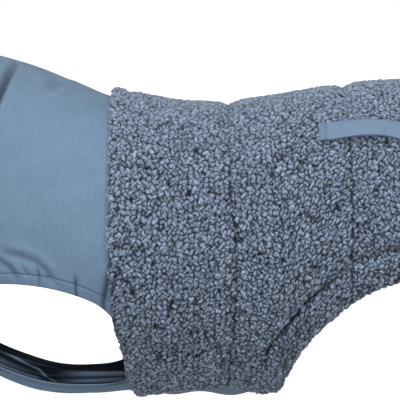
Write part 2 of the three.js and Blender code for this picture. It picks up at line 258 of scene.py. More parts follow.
def seam_line(steps):
    """The seam from the neck to the opening's front tip, which turns down as it goes."""
    tip_u, tip_a = beside_opening(front_at, BINDING_WIDTH - TUCK)
    t = np.arange(steps) / steps
    return points(mix(NECK[0], tip_u, t), mix(NECK[1], tip_a, t * t))


def rear_line(steps):
    """The covered seam from the opening's rear tip to the yoke's rear end."""
    tip_u, tip_a = beside_opening(rear_at, BINDING_WIDTH - TUCK)
    return points(mix(tip_u, YOKE_REAR, np.arange(1, steps + 1) / steps), tip_a)


def share_of_way(line):
    """How far along a line of places each one is, from 0 to 1, measured on the figure."""
    gaps = np.linalg.norm(np.diff(figure(line[:, 0], line[:, 1]), axis=0), axis=1)
    way = np.concatenate([[0], np.cumsum(gaps)])
    return way / way[-1]


def across_from(edge, a):
    """For each place of an edge, the ring that is the same share of the way along the line at angle a."""
    u = np.linspace(edge[0, 0], edge[-1, 0], 600)
    return np.interp(share_of_way(edge), share_of_way(points(u, a)), u)


def stroke(u, a, line, width):
    """1 on a line of places and falling away from it over width mm, fading at the line's ends."""
    line = np.array(line, float) * (1, MM_PER_DEGREE)
    place = np.stack([u, np.abs(a) * MM_PER_DEGREE], -1)
    best = np.full(u.shape, 1e9)
    share = np.zeros(u.shape)
    for k in range(len(line) - 1):
        run = line[k + 1] - line[k]
        t = np.clip(((place - line[k]) @ run) / (run @ run), 0, 1)
        away = np.linalg.norm(place - line[k] - t[..., None] * run, axis=-1)
        share = np.where(away < best, (k + t) / (len(line) - 1), share)
        best = np.minimum(best, away)
    fade = ramp(0, 0.25, share) * (1 - ramp(0.75, 1, share))
    return np.exp(-((best / width) ** 2)) * (0.25 + 0.75 * fade)


def behind_neck_crease(u, a):
    """Distance in rings behind the crease at the root of the neck, which leans back down the side."""
    return u + 81 - 8 * (a / 52) ** 2


FOLDS = (  # line of places, mm outward, width in mm
    ([(-48, 5), (-51, 8), (-52.6, 13.5), (-54, 20), (-55.4, 27)], -2.4, 4.2),
    ([(-40.7, 9.4), (-44.3, 19.1), (-47.5, 25.2), (-50.8, 29.9), (-55.7, 33.6)], 1.5, 2.8),
    (
        [(-42, 95.2), (-37.5, 93.5), (-32.8, 92), (-27.9, 91.8), (-23.4, 93.6), (-19.8, 96.8), (-18, 99)],
        -2.3,
        1.9,
    ),
    ([(-42, 92), (-37.5, 90.2), (-32.8, 88.8), (-27.5, 88.8), (-22, 91), (-17.5, 95)], 1.0, 2.2),
    ([(-48, 99), (-40.7, 97.8), (-37, 98), (-34, 99.2), (-31.6, 101)], -2.2, 1.7),
    ([(-46, 96.4), (-40, 95.4), (-35.5, 95.8), (-31, 97.8)], 0.8, 1.6),
    ([(-31.8, 95.2), (-30.2, 96.3), (-28.5, 97.4)], -0.8, 1.0),
    ([(-27, 93.4), (-25.5, 95.8), (-24.2, 98.6)], -1.2, 1.0),
    ([(-11.7, 92), (-11, 95.4), (-10.2, 98), (-8.6, 101)], -1.4, 1.0),
    ([(3, 88), (2.5, 92), (1.8, 97.6), (1.5, 102.1), (2.6, 107)], -2.4, 1.7),
)


def yoke_fold(u, a):
    """The folds of the yoke, in mm outward: the neck crease, and small pulls above the leg opening."""
    side = np.abs(a)
    behind = behind_neck_crease(u, a)
    dive = 4.2 * ramp(-8, -0.8, behind) * (1 - ramp(-0.8, 1.4, behind))
    ridge = 1.0 * ramp(-0.8, 1.6, behind) * (1 - ramp(1.6, 14, behind))
    fold = ramp(5, 19, side) * (1 - ramp(60, 88, side)) * (ridge - dive)
    return fold + sum(height * stroke(u, a, line, width) for line, height, width in FOLDS)


CREASES = (  # line of places, depth of the shade, width in mm
    ([(-49, 6), (-51.5, 12), (-53, 18), (-54, 23)], 0.16, 4.5),
    ([(-27, 93.2), (-25.5, 95.8), (-24.2, 99.4)], 0.6, 0.55),
    ([(-11.8, 92), (-11, 95.4), (-10.2, 98.4), (-8.6, 101.5), (-6.2, 105)], 0.9, 0.55),
    ([(-31.5, 95.4), (-30.2, 96.4), (-28.8, 97.4)], 0.5, 0.5),
    ([(-43, 98.1), (-37, 98.2), (-34, 99.3), (-31.8, 101)], 0.4, 1.0),
    ([(-36, 93), (-32.8, 92.1), (-27.9, 91.9), (-23.4, 93.7), (-19.8, 97)], 0.25, 1.3),
    ([(3, 88), (2.4, 92), (1.7, 97.6), (1.4, 102.1), (2.6, 107.2)], 0.85, 1.2),
)


def crease_shade(u, a):
    """The shade that lies in the neck's fold and in the sharp short creases by the leg opening."""
    side = np.abs(a)
    behind = behind_neck_crease(u, a)
    neck = ramp(-8.5, -1.5, behind) * (1 - ramp(-0.6, 0.7, behind))
    neck = neck * mix(0.5, 0.88, ramp(8, 34, side)) * ramp(3, 9, side) * (1 - ramp(60, 85, side))
    return neck + sum(depth * stroke(u, a, line, width) for line, depth, width in CREASES)


def lowest_nearby(fold, reach):
    """The least of a grid's values within that many points each way."""
    for axis in (0, 1):
        for step in range(reach):
            fold = np.minimum(fold, np.minimum(shifted(fold, 1, axis), shifted(fold, -1, axis)))
    return fold


def shifted(grid, step, axis):
    moved = np.roll(grid, step, axis)
    edge = [slice(None), slice(None)]
    edge[axis] = 0 if step > 0 else -1
    moved[tuple(edge)] = grid[tuple(edge)]
    return moved


def edge_rim(u, a):
    """1 at a panel's seamed edge, falling to 0 over RIM_WIDTH, where its seam draws it in."""
    way = way_round(u, a)
    edge = np.minimum(way - way[:, :1], way[:, -1:] - way)
    return 1 - ramp(0, RIM_WIDTH, edge)


def closed_piece(name, outer, inner, ratio):
    """A closed mesh of a fine outer grid and an inner one with one point for each ratio of its points.
    Fans of triangles join the two borders. Points are in mm, as [column][row]."""
    n, m = outer.shape[:2]
    p, q = inner.shape[:2]

    def quads(columns, rows, first):
        at = first + np.arange(columns * rows).reshape(columns, rows)
        return np.stack([at[:-1, :-1], at[1:, :-1], at[1:, 1:], at[:-1, 1:]], -1).reshape(-1, 4)

    def border(columns, rows, first):
        at = first + np.arange(columns * rows).reshape(columns, rows)
        return np.concatenate([at[:-1, 0], at[-1, :-1], at[:0:-1, -1], at[0, :0:-1]])

    fine = border(n, m, 0)
    coarse = border(p, q, n * m)
    k = np.arange(len(fine))
    nearest = (k // ratio + (k % ratio >= ratio // 2)) % len(coarse)
    fans = np.stack([np.roll(fine, -1), fine, coarse[nearest]], -1)
    middle = fine[np.arange(len(coarse)) * ratio + ratio // 2]
    links = np.stack([coarse, np.roll(coarse, -1), middle], -1)
    four = np.concatenate([quads(n, m, 0), quads(p, q, n * m)[:, ::-1]])
    three = np.concatenate([fans, links])
    place = np.concatenate([outer.reshape(-1, 3), inner.reshape(-1, 3)]) * MM
    if volume(place, four, three) < 0:
        four, three = four[:, ::-1], three[:, ::-1]
    thing = piece_of(name, place, four, three)
    inside = np.zeros(len(four) + len(three), np.int32)
    inside[(n - 1) * (m - 1) : len(four)] = 1
    thing.data.polygons.foreach_set("material_index", inside)
    return thing


def volume(place, four, three):
    """Six times the volume that the faces enclose, negative when they point inward."""
    faces = np.concatenate([four[:, :3], four[:, [0, 2, 3]], three])
    a, b, c = (place[faces[:, k]] for k in range(3))
    return (a * np.cross(b, c)).sum()


def piece_of(name, place, four, three):
    """A smooth-shaded object at the origin from points and from faces of four and three corners."""
    corners = np.concatenate([four.ravel(), three.ravel()])
    starts = np.concatenate([np.arange(len(four)) * 4, len(four) * 4 + np.arange(len(three)) * 3])
    mesh = bpy.data.meshes.new(name)
    mesh.vertices.add(len(place))
    mesh.vertices.foreach_set("co", place.ravel())
    mesh.loops.add(len(corners))
    mesh.loops.foreach_set("vertex_index", corners.astype(np.int32))
    mesh.polygons.add(len(starts))
    mesh.polygons.foreach_set("loop_start", starts.astype(np.int32))
    mesh.update(calc_edges=True)
    mesh.shade_smooth()
    mesh.set_sharp_from_angle(angle=math.radians(75))
    thing = bpy.data.objects.new(name, mesh)
    bpy.context.collection.objects.link(thing)
    return thing


def way_round(u, a):
    """Distance in mm round the figure from the middle row of a grid of places."""
    steps = np.linalg.norm(np.diff(figure(u, a), axis=1), axis=-1)
    way = np.concatenate([np.zeros((len(u), 1)), np.cumsum(steps, axis=1)], axis=1)
    return way - way[:, way.shape[1] // 2 : way.shape[1] // 2 + 1]


def cloth_places(thing, along, around, ratio, **marks):
    """Gives each point its place on the cloth in mm, and further marks from 0 to 1, for the material."""

    def spread(values):
        inner = values[::ratio, ::ratio].ravel() if ratio else values[:0, 0]
        return np.concatenate([values.ravel(), inner]).astype(np.float32)

    place = np.stack([spread(along), spread(around), np.zeros_like(spread(along))], -1)
    layer = thing.data.attributes.new("cloth", "FLOAT_VECTOR", "POINT")
    layer.data.foreach_set("vector", place.ravel())
    for name, values in marks.items():
        layer = thing.data.attributes.new(name, "FLOAT", "POINT")
        layer.data.foreach_set("value", spread(values))


class Value:
    """A number or vector that changes over a surface: a node's output, with sums written as Python."""

    def __init__(self, shader, socket):
        self.shader = shader
        self.socket = socket

    def _sum(self, operation, *values):
        return self.shader.node("ShaderNodeMath", operation=operation, values=values)

    def __add__(self, other):
        return self._sum("ADD", self, other)

    def __sub__(self, other):
        return self._sum("SUBTRACT", self, other)

    def __rsub__(self, other):
        return self._sum("SUBTRACT", other, self)

    def __mul__(self, other):
        return self._sum("MULTIPLY", self, other)

    def sine(self):
        return self._sum("SINE", self)

    def between(self, low, high):
        """0 at low or below, 1 at high or above."""
        return self.shader.node("ShaderNodeMapRange", Value=self, **{"From Min": low, "From Max": high})

    __radd__ = __add__
    __rmul__ = __mul__


class Finish:
    """A fabric's material: a Principled shader and the nodes that feed it."""

    def __init__(self, name, roughness, sheen=0.0):
        self.material = bpy.data.materials.new(name)
        self.material.use_nodes = True
        self.tree = self.material.node_tree
        self.shader = self.tree.nodes["Principled BSDF"]
        self.shader.inputs["Roughness"].default_value = roughness
        self.shader.inputs["Sheen Weight"].default_value = sheen
        self.shader.inputs["Specular IOR Level"].default_value = 0.25

    def node(self, kind, output=0, values=(), **inputs):
        """Adds a node. Its settings are set first, then its sockets, by name, by number or in order."""
        node = self.tree.nodes.new(kind)
        numbered = values if isinstance(values, dict) else dict(enumerate(values))
        for name in [n for n in inputs if hasattr(node, n) and n not in node.inputs]:
            setattr(node, name, inputs.pop(name))
        for key, value in [*numbered.items(), *inputs.items()]:
            if isinstance(value, Value):
                self.tree.links.new(value.socket, node.inputs[key])
            else:
                node.inputs[key].default_value = value
        return Value(self, node.outputs[output])

    def attribute(self, name, output):
        return self.node("ShaderNodeAttribute", output, attribute_name=name)

    def feed(self, name, value):
        self.tree.links.new(value.socket, self.shader.inputs[name])

    def noise(self, place, scale, detail=2.0):
        """Cloudy noise of about 0 to 1 at place times scale."""
        scaled = self.node("ShaderNodeVectorMath", operation="MULTIPLY", values=(place, scale))
        return self.node("ShaderNodeTexNoise", "Fac", Vector=scaled, Scale=1.0, Detail=detail)

    def blend(self, share, dark, light):
        """A colour between two others."""
        colours = [colour if isinstance(colour, Value) else (*colour, 1) for colour in (dark, light)]
        sockets = {0: share, 6: colours[0], 7: colours[1]}
        return self.node("ShaderNodeMix", 2, sockets, data_type="RGBA")

    def bump(self, height, distance, strength=1.0):
        self.feed("Normal", self.node("ShaderNodeBump", Height=height, Distance=distance, Strength=strength))


def linear(red, green, blue):
    """A colour given as 0 to 255 in sRGB, as the linear colour that the shader takes."""
    values = np.array([red, green, blue]) / 255
    return tuple(np.where(values <= 0.04045, values / 12.92, ((values + 0.055) / 1.055) ** 2.4))


def woven_finish(name, light, dark):
    """Fine plain weave: upright slubby yarns, a faint mottle, and a bump of yarns over and under."""
    finish = Finish(name, 0.62, sheen=0.15)
    place = finish.attribute("cloth", "Vector")
    slubs = finish.noise(place, (1.6, 0.09, 1))
    wefts = finish.noise(place, (0.08, 1.3, 1))
    mottle = finish.noise(place, (0.05, 0.05, 1), 3)
    tone = (slubs - 0.5) * 1.4 + (wefts - 0.5) * 0.9 + (mottle - 0.5) * 1.1 + 0.5
    cloth = finish.blend(tone.between(0, 1), dark, light)
    shade = finish.attribute("shade", "Fac")
    finish.feed("Base Color", finish.blend(shade, cloth, tuple(0.18 * part for part in dark)))
    finish.feed("Roughness", (slubs - 0.5) * 0.2 + 0.62)
    across = finish.node("ShaderNodeSeparateXYZ", 0, values=(place,))
    up = finish.node("ShaderNodeSeparateXYZ", 1, values=(place,))
    yarns = (across * 12.5).sine() * (up * 10.5).sine()
    finish.bump(yarns * 0.5 + slubs * 0.9 + wefts * 0.5, 0.00012, 0.6)
    return finish.material


woven = woven_finish("woven_shell", linear(128, 157, 186), linear(112, 140, 168))


def lining_finish():
    """Smooth lining with a bluish shine. Its dark colour is painted shade of the coat's unlit inside, and
    where the painted light mark is set it is painted paler, as painted light on its lit folds and their
    crests.
    """
    finish = Finish("lining", 0.42)
    finish.shader.inputs["Specular Tint"].default_value = (0.5, 0.72, 1, 1)
    crest = finish.attribute("crest", "Fac")
    streaks = finish.noise(finish.attribute("cloth", "Vector"), (0.04, 0.5, 1), 3)
    share = crest * (streaks * 0.8 + 0.6)
    # Painted shade as the dark colour and painted light as the pale one, mixed by the painted light mark.
    finish.feed("Base Color", finish.blend(share.between(0, 1), linear(26, 32, 41), linear(140, 164, 194)))
    finish.bump(streaks, 0.0004, 0.5)
    return finish.material


lining = lining_finish()


def finish_piece(thing, node, materials, slot, width, length, area):
    """Gives a cloth piece its materials and its body, and hides the imported part of the node it stands for.
    The size of its cut is not used.
    """
    for material in materials:
        thing.data.materials.append(material)
    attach(thing, "root")
    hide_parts(node)


def area_of(outer):
    """Area of a grid of points, in square metres."""
    across = np.cross(outer[1:, 1:] - outer[:-1, :-1], outer[1:, :-1] - outer[:-1, 1:])
    return np.linalg.norm(across, axis=-1).sum() / 2 * MM * MM


YOKE_ROWS = 92
YOKE_CUT = (0.29, 0.43)  # estimated length and width of the cut, in metres
yoke_edge = np.concatenate([
    seam_line(NECK_STEPS),
    points(*beside_opening(upper_at, BINDING_WIDTH - TUCK)),
    rear_line(REAR_STEPS),
])
t = np.arange(YOKE_ROWS + 1) / YOKE_ROWS
v = mix(t, 1 - (1 - t) ** 2, 0.6)
v = np.concatenate([-v[:0:-1], v])
yoke_u = mix(across_from(yoke_edge, 0)[:, None], yoke_edge[:, :1], v * v)
yoke_a = yoke_edge[:, 1:] * v
fold = yoke_fold(yoke_u, yoke_a)
rim = edge_rim(yoke_u, yoke_a)
yoke_outer = lifted(yoke_u, yoke_a, CLOTH + fold - RIM_DIP * rim)
yoke_inner = lifted(yoke_u, yoke_a, lowest_nearby(fold, RATIO))[::RATIO, ::RATIO]
yoke = closed_piece("yoke_cloth", yoke_outer, yoke_inner, RATIO)
shade = np.clip(RIM_SHADE * rim + crease_shade(yoke_u, yoke_a), 0, 1)
cloth_places(yoke, yoke_u, way_round(yoke_u, yoke_a), RATIO, shade=shade)
finish_piece(yoke, "yoke", (woven, lining), "woven_shell", *YOKE_CUT, area_of(yoke_outer))

# The chest panel: the same cloth at the throat, between the legs and under
# the belly, where the fleece laps over its edges. It is drawn into slanting
# gathers between the legs and hangs in slack waves under the belly.
CHEST_ROWS = 52
BELLY_STEPS = 80
CHEST_CUT = (0.19, 0.38)  # estimated width and length of the cut, in metres


def long_ripples(u, a):
    """Ripples along the panel about 7 degrees apart, drifting a little, from -1 to 1."""
    from_belly = np.abs(a - 180)
    drift = 1.6 * np.sin(u * 0.045) + 0.9 * np.sin(u * 0.11 + from_belly * 0.2)
    return np.cos(2 * np.pi * (from_belly - 0.5 + drift) / 7) * (0.65 + 0.35 * np.sin(u * 0.07 + from_belly))


def chest_fold(u, a):
    """Gathers between the legs and slack waves under the belly, in mm outward."""
    from_belly = np.abs(a - 180)
    between_legs = ramp(-62, -40, u) * (1 - ramp(6, 22, u)) * (1 - ramp(24, 34, from_belly))
    gathers = 1.3 * np.sin(np.radians(a * 7 + u * 6))
    fine = 0.9 * (long_ripples(u, a) - 1)
    under_belly = ramp(28, 45, u) * (1 - ramp(16, 30, from_belly))
    waves = 1.6 * np.cos(np.radians((u - 76) / 40 * 360))
    return between_legs * (gathers + fine) + under_belly * (waves - 0.2)


belly_t = np.arange(1, BELLY_STEPS + 1) / BELLY_STEPS
rear_tip_a = beside_opening(rear_at, BINDING_WIDTH - TUCK)[1]
chest_edge = np.concatenate([
    seam_line(NECK_STEPS),
    points(*beside_opening(lower_at, BINDING_WIDTH - TUCK)),
    rear_line(REAR_STEPS),
    points(mix(YOKE_REAR, BELLY_REAR[0], belly_t), mix(rear_tip_a, BELLY_REAR[1], belly_t)),
])
w = np.arange(-CHEST_ROWS, CHEST_ROWS + 1) / CHEST_ROWS
chest_u = mix(across_from(chest_edge, 180)[:, None], chest_edge[:, :1], w * w)
chest_a = 180 - (180 - chest_edge[:, 1:]) * w
fold = chest_fold(chest_u, chest_a)
rim = edge_rim(chest_u, chest_a)
chest_outer = lifted(chest_u, chest_a, CLOTH + fold - RIM_DIP * rim)
chest = closed_piece("chest_cloth", chest_outer, lifted(chest_u, chest_a, fold), 1)
from_belly = np.abs(chest_a - 180)
# Painted light on the chest panel's inner face: a painted highlight along the ridge line, the band below it
# painted paler with its ripple crests palest, and the strip along the belly further back painted pale the
# same way. The rest keeps the lining's painted shade.
ridge_line = [(-46, 31.5), (-39, 29), (-31.6, 26.3), (-25, 23.7), (-19, 20.5), (-10.6, 7.6)]
below = np.interp(chest_u, *np.transpose(ridge_line)) - from_belly
before = 1 - ramp(-13, -8, chest_u)
ripples = np.clip(0.35 - 0.5 * long_ripples(chest_u, chest_a), 0, 1)
streak = (1 - ramp(0, 1.8, np.abs(below - 0.8))) * ramp(-72, -52, chest_u)
crest = before * ramp(-0.3, 1, below) * (0.02 + 0.5 * ripples * ramp(5, 14, below) + 0.9 * streak)
crest += before * (0.35 + 0.8 * ripples) * ramp(4, 12, below)
crest += ramp(-14, 0, chest_u) * (1 - ramp(17, 22, from_belly)) * (0.15 + 1.4 * ripples)
crest = np.clip(crest, 0, 1)
cloth_places(chest, chest_u, way_round(chest_u, chest_a), 1, shade=RIM_SHADE * rim, crest=crest)
finish_piece(chest, "chest_panel", (woven, lining), "woven_shell", *CHEST_CUT, area_of(chest_outer))

# The saddle's outline, which the bindings' covered ends need first. It is
# one thick fleece piece from just behind the shoulders to the tail, cut in
# four by upright quilted seams, with a turned and stitched hem.
FRONT_EDGE = np.array(
    [
        (0, -14.5), (23, -12.4), (45, -7), (65, -2.7), (82, 0.2), (95, 3.7), (105, 5.2), (113, 7.2),
        (121, 9.8), (131, 11.9), (142, 13.4), (162, 18),
    ]
)
HEM = np.array(
    [  # u, angle of the lower edge, angle of the hem's stitched line
        (18, 162, 120), (33, 152, 119.5), (54, 145.5, 119.5), (82, 147, 119.5), (104, 151, 117.5),
        (110, 149, 112.5), (116, 136.5, 108.6), (124, 125.8, 103.5), (138, 115.8, 98.4),
        (155, 109.6, 91.8), (174, 104.6, 89.4), (194, 103, 89), (290, 101, 86),
    ]
)
CORNER = 162.0
SEAMS_X = (76.0, 159.5, 245.5)
TAIL_X = 322.0
TAIL_ROUND = 36.0


def saddle_front(a):
    return smooth(FRONT_EDGE[:, 0], FRONT_EDGE[:, 1], a)


def first_seam(a):
    """The ring u of the first quilted seam, which bows back a little on the flank."""
    return SEAMS_X[0] - 2.5 + 4.8 * np.exp(-(((np.abs(a) - 90) / 28) ** 2))


def wander(a, seam):
    """How far a seam strays to and fro among the curls, in rings, at angle a."""
    mm = np.asarray(a) * MM_PER_DEGREE + 40 * seam
    quick = 0.5 * np.sin(mm * 0.9 + 1.3 * np.sin(mm * 0.31))
    return quick + 0.5 * np.sin(mm * 0.37) + 0.25 * np.sin(mm * 1.9)


def seam_u(a, seam):
    """The ring u of a quilted seam at angle a, which is below 0 on the right."""
    straight = first_seam(a) if seam == 0 else SEAMS_X[seam]
    return straight + wander(a, seam)


def from_nearest_seam(u, a):
    return np.min([np.abs(u - seam_u(a, seam)) for seam in range(len(SEAMS_X))], axis=0)


# The elastic binding of each leg opening: a soft turned-over casing of the
# same cloth, 8 mm wide, drawn into small puckers by the elastic in it. At
# its rear end the fleece presses it flat.
BINDING_THICK = 2.4
BINDING_CUT = 0.0105  # width of casing that shows, over its rim, in metres
round_t = np.concatenate([upper_at[:-1], lower_at[:0:-1]])
section = np.radians(np.arange(24) * 15)
section_across = BINDING_WIDTH / 2 * (1 - np.sign(np.cos(section)) * np.abs(np.cos(section)) ** 0.6)
section_height = 0.5 + 0.5 * np.sign(np.sin(section)) * np.abs(np.sin(section)) ** 0.55


def pucker(length, across):
    """The casing's gathers in mm: short furrows across it, uneven in strength along its length."""
    furrows = np.sin(length * 1.15 + 0.5 * np.sin(length * 0.21)) * (0.5 + 0.5 * np.sin(length * 0.13 + 1))
    return 0.22 * furrows * np.sin(np.pi * across / BINDING_WIDTH) ** 0.5


def closed_ring(name, loops):
    """A closed tube from [station][corner] points in mm, joined up both ways."""
    n, m = loops.shape[:2]
    at = np.arange(n * m).reshape(n, m)
    across = np.roll(at, (-1, -1), (0, 1))
    four = np.stack([at, np.roll(at, -1, 0), across, np.roll(at, -1, 1)], -1).reshape(-1, 4)
    place = loops.reshape(-1, 3) * MM
    none = np.zeros((0, 3), int)
    if volume(place, four, none) < 0:
        four = four[:, ::-1]
    return piece_of(name, place, four, none)


def leg_binding(name, node, side):
    u, a = beside_opening(round_t[:, None], section_across)
    station_u, station_a = opening_edge(round_t)
    covered = ramp(-10, -5, station_u - saddle_front(station_a))[:, None]
    puckers = pucker(round_t[:, None], section_across) * (1 - covered)
    height = section_height * mix(BINDING_THICK, CLOTH + 0.3, covered) + puckers * (section_height > 0.4)
    upper = np.arange(len(round_t))[:, None] < UPPER_STEPS
    fold = np.where(upper, yoke_fold(u, a), chest_fold(u, a))
    height += ramp(0, BINDING_WIDTH, section_across) * mix(fold, np.minimum(fold, 0), covered)
    loops = lifted(u, side * a, height)
    binding = closed_ring(name, loops)
    inside = np.tile(section_height < 0.5, len(round_t)).astype(np.int32)
    binding.data.polygons.foreach_set("material_index", inside)
    across = section_across[None, :] + np.zeros_like(u)
    length = round_t[:, None] + np.zeros_like(u)
    # Painted shade: on the casing's lower part a dark streak wanders along it, the shade of a lengthwise
    # groove among its ripples. On its upper part the yoke's painted crease shade carries on.
    streak_at = 2.8 + 1.3 * np.sin(length * 0.055) + 0.5 * np.sin(length * 0.13)
    streak = np.exp(-(((across - streak_at) / 1.2) ** 2)) * (0.6 + 0.35 * np.sin(length * 0.08 + 1))
    shade = np.clip(np.where(upper, crease_shade(u, a) * (u < 10), streak), 0, 1)
    cloth_places(binding, length, across + 3 * (section_height < 0.5), 0, shade=shade)
    strip = (round_at - front_at) * MM
    finish_piece(binding, node, (casing, lining), "elastic_binding", BINDING_CUT, strip, BINDING_CUT * strip)


casing = woven_finish("casing", linear(126, 155, 184), linear(110, 138, 166))
leg_binding("casing_left", "leg_binding_left", 1)
leg_binding("casing_right", "leg_binding_right", -1)

# The fleece itself: a knitted ground with a thick pile of soft curls, about
# 4 mm across, with shade painted dark into the gaps between them. Every curl is modelled.
FLEECE_INNER = 2.3
FLEECE_OUTER = 9.0
FLEECE_SEAM = 4.7
OVERLAP = 0.15
PUFF = 5.5
ROLL = 5.5  # radius of a turned edge, along the cloth
ROLL_TURN = math.radians(150)
ROLL_STEPS = 16
ROLL_PILE = 4.5  # mm of pile for each radian of a turned edge
CURL = 3.7
SMALL_CURL = 2.0
PILE = 2.2
PILE_MEAN = 0.85  # of the height before it is scaled
LEAST_THICK = 3.4
FRONT_STITCH = 12.0  # from the front edge to the stitching that holds its turning
TAIL_STITCH = 27.0
dice = np.random.default_rng(11).random((256, 256, 6))


def curls(x, y, size):
    """Round cells about random centres, one to each square of that size in mm, each stretched and
    turned its own way. For each place it gives the distance to the nearest centre and how much
    farther the next one is, both in cells, and the nearest cell's lift and shade from 0 to 1."""
    x = x / size
    y = y / size
    i = np.floor(x).astype(int)
    j = np.floor(y).astype(int)
    first = np.full(x.shape, 9.0)
    second = np.full(x.shape, 9.0)
    lift = np.zeros(x.shape)
    shade = np.zeros(x.shape)
    for di in range(-2, 3):
        for dj in range(-2, 3):
            thrown = dice[(i + di) % 256, (j + dj) % 256]
            dx = x - i - di - mix(0.12, 0.88, thrown[..., 0])
            dy = y - j - dj - mix(0.12, 0.88, thrown[..., 1])
            turn = np.pi * thrown[..., 2]
            stretch = 1 + 0.9 * thrown[..., 3] ** 2
            along = (dx * np.cos(turn) + dy * np.sin(turn)) / stretch
            far = np.hypot(along, dy * np.cos(turn) - dx * np.sin(turn))
            nearer = far < first
            second = np.where(nearer, first, np.minimum(second, far))
            lift = np.where(nearer, thrown[..., 4], lift)
            shade = np.where(nearer, thrown[..., 5], shade)
            first = np.where(nearer, far, first)
    return first, second - first, lift, shade


def pile(x, y):
    """Height of the pile in mm about its mean: domes with steep sides, and smaller ones on them, on
    places bent a little to and fro. With it come how far a place is from the gaps between large and
    between small curls, and its curl's own shade."""
    bent_x = x + 0.7 * np.sin(y * 1.1 + 0.8 * np.sin(x * 0.37)) + 0.5 * np.sin(y * 0.43 + x * 0.61)
    bent_y = y + 0.7 * np.sin(x * 1.2 + 0.8 * np.sin(y * 0.31)) + 0.5 * np.sin(x * 0.39 - y * 0.53)
    first, gap, lift, shade = curls(bent_x, bent_y, CURL)
    dome = np.sqrt(np.clip(gap / 0.4, 0, 1)) * (1 - 0.3 * np.clip(first, 0, 1) ** 2)
    small_gap = curls(bent_x + 50, bent_y + 90, SMALL_CURL)[1]
    small = np.sqrt(np.clip(small_gap / 0.5, 0, 1))
    height = (0.75 + 0.45 * lift) * dome + 0.25 * small
    return PILE * (height - PILE_MEAN), np.clip(gap, 0, 1), np.clip(small_gap, 0, 1), shade


def roll_steps(first_end):
    """Turn of a rolled edge at each step, from under the edge to its top or the other way."""
    turn = np.linspace(ROLL_TURN, 0, ROLL_STEPS + 1)[:-1]
    return turn if first_end else turn[::-1]


# Columns stand closer where the hem is steep: their count and their way across, as shares.
COLUMN_SPREAD = {1: ((0, 0.25, 0.74, 1), (0, 0.31, 0.66, 1))}


def saddle_grid(channel, rows_half, columns, under):
    """Places (u, a) of a channel's grid with each point's rise from the inner to the outer face.
    On rolled edges the inset runs out and back by a sine as the rise falls by a cosine; under the
    fleece the inset only falls off evenly."""

    def inset(turn):
        return ROLL * (1 - 0.47 * turn / ROLL_TURN) if under else ROLL * (1 - np.sin(turn))

    turns = [np.zeros(columns + 1)]
    share = [np.interp(np.arange(columns + 1) / columns, *COLUMN_SPREAD.get(channel, ((0, 1), (0, 1))))]
    edges = [np.zeros(columns + 1)]
    if channel == 0:
        turns.insert(0, roll_steps(True))
        share.insert(0, np.zeros(ROLL_STEPS))
        edges.insert(0, np.full(ROLL_STEPS, -1.0))
    if channel == 3:
        turns.append(roll_steps(False))
        share.append(np.ones(ROLL_STEPS))
        edges.append(np.ones(ROLL_STEPS))
    column_turn = np.concatenate(turns)[:, None]
    column_share = np.concatenate(share)[:, None]
    column_edge = np.concatenate(edges)[:, None]

    row_turn = np.concatenate([np.zeros(rows_half), roll_steps(False)])
    row_turn = np.concatenate([row_turn[::-1], [0], row_turn])[None, :]
    row_share = np.concatenate([np.arange(1, rows_half + 1) / rows_half, np.ones(ROLL_STEPS)])
    row_share = np.concatenate([row_share[::-1], [0], row_share])[None, :]
    side = np.sign(np.arange(row_turn.shape[1]) - row_turn.shape[1] // 2)[None, :]

    def lines(level):
        """The ring u of the channel's front and rear line at each level, 0 at the spine, 1 at the hem."""
        seams = [seam_u(side * level * CORNER, seam) for seam in range(len(SEAMS_X))]
        line = [saddle_front(level * CORNER), *seams, TAIL_X - TAIL_ROUND * level**3]
        front = line[channel] + (ROLL if channel == 0 else -OVERLAP)
        rear = line[channel + 1] - (ROLL if channel == 3 else -OVERLAP)
        return front + np.zeros_like(level), rear + np.zeros_like(level)

    def ring(level):
        """The ring u of each place of the channel at that level."""
        front, rear = lines(level)
        return mix(front, rear, column_share) + column_edge * (ROLL - inset(column_turn))

    level_one = np.ones((1, 1))
    bottom_u = ring(level_one)
    bottom = smooth(HEM[:, 0], HEM[:, 1], bottom_u)
    hem_line = smooth(HEM[:, 0], HEM[:, 2], bottom_u)
    steep = np.sqrt(1 + ((smooth(HEM[:, 0], HEM[:, 1], bottom_u + 1) - bottom) * MM_PER_DEGREE) ** 2)
    inset_degrees = inset(row_turn) * np.minimum(steep, 2) / MM_PER_DEGREE
    roll_degrees = ROLL * np.minimum(steep, 2) / MM_PER_DEGREE
    a = row_share * (bottom - roll_degrees) + (row_turn > 0) * (roll_degrees - inset_degrees)
    u = ring(a / bottom)
    rise = (1 + np.cos(column_turn)) / 2 * (1 + np.cos(row_turn)) / 2
    from_line = np.abs(a - hem_line) * MM_PER_DEGREE
    along = figure(u, a)[..., 0] + column_edge * (ROLL_PILE * column_turn - ROLL * np.sin(column_turn))
    around = way_round(u, side * a) + side * (ROLL_PILE * row_turn - ROLL * np.sin(row_turn))
    return u, side * a, rise, from_line, along, around


HEM_CREASE = [
    (162, 90), (151, 93.8), (140, 97.6), (131, 100.7), (123, 104.7), (119.5, 107), (116, 108.8),
    (112.4, 111.4), (109, 113.1), (106, 115.8), (103.3, 117.9), (101, 120.6), (99.5, 122.6), (98.5, 125),
]
HEM_CREASE_REAR = [(162, 91), (168, 89.6), (174, 89.9), (182, 89), (190, 89.2), (200, 89)]
PINCH_FRONT = [(163, 5), (159.3, 12), (150.6, 14.3), (144.3, 20.1), (139.8, 27.7), (138, 36)]
PINCH_REAR = [(160, 8), (162.2, 16.7), (165.3, 25), (168.6, 32.8), (170, 40)]


